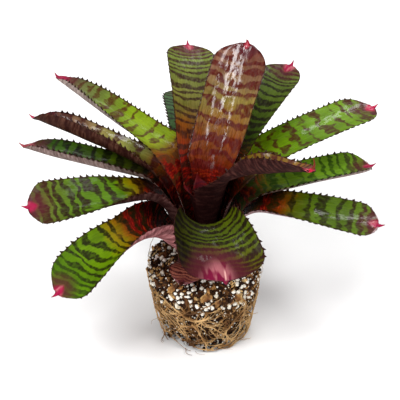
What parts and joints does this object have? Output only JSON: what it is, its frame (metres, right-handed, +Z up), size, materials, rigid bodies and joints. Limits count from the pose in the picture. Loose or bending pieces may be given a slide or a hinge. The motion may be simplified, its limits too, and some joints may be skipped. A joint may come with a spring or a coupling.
{
  "type": "potted bromeliad plant",
  "caption": "Bare-rooted bromeliad: banded, spine-edged strap leaves in an open rosette on a short stem, above a tapered root ball that stands on its flat underside.",
  "frame": {"origin": "middle of the root ball's flat underside, on the surface it stands on", "axes": "+Z up along the stem, +X to the right and -Y towards the viewer of the picture"},
  "size_m": [0.3098, 0.2593, 0.2451],
  "materials": {
    "soil": "damp dark potting mix with white perlite and bark",
    "roots": "dry tan roots",
    "stem": "short green-brown stem",
    "leaf_green": "glossy green leaf with dark red cross-bands",
    "leaf_bronze": "very glossy bronze-red leaf with dark cross-bands"
  },
  "bodies": {
    "root": {"soil_plug": "soil", "root_net": "roots", "stem": "stem", "leaf_old": "leaf_green", "leaf_front_left": "leaf_green", "leaf_front": "leaf_green", "leaf_right_low": "leaf_green", "leaf_left_low": "leaf_green", "leaf_right_mid": "leaf_green", "leaf_back_low": "leaf_green", "leaf_left_mid": "leaf_green", "leaf_left_folded": "leaf_green", "leaf_back_right_low": "leaf_green", "leaf_right_upper": "leaf_green", "leaf_left_back": "leaf_green", "leaf_right_back": "leaf_green", "leaf_back": "leaf_green", "leaf_right_inner": "leaf_bronze", "leaf_centre_back": "leaf_bronze", "leaf_heart_left": "leaf_bronze", "leaf_heart_front": "leaf_bronze", "leaf_heart_back": "leaf_bronze", "leaf_heart_right": "leaf_bronze"}
  },
  "joints": []
}
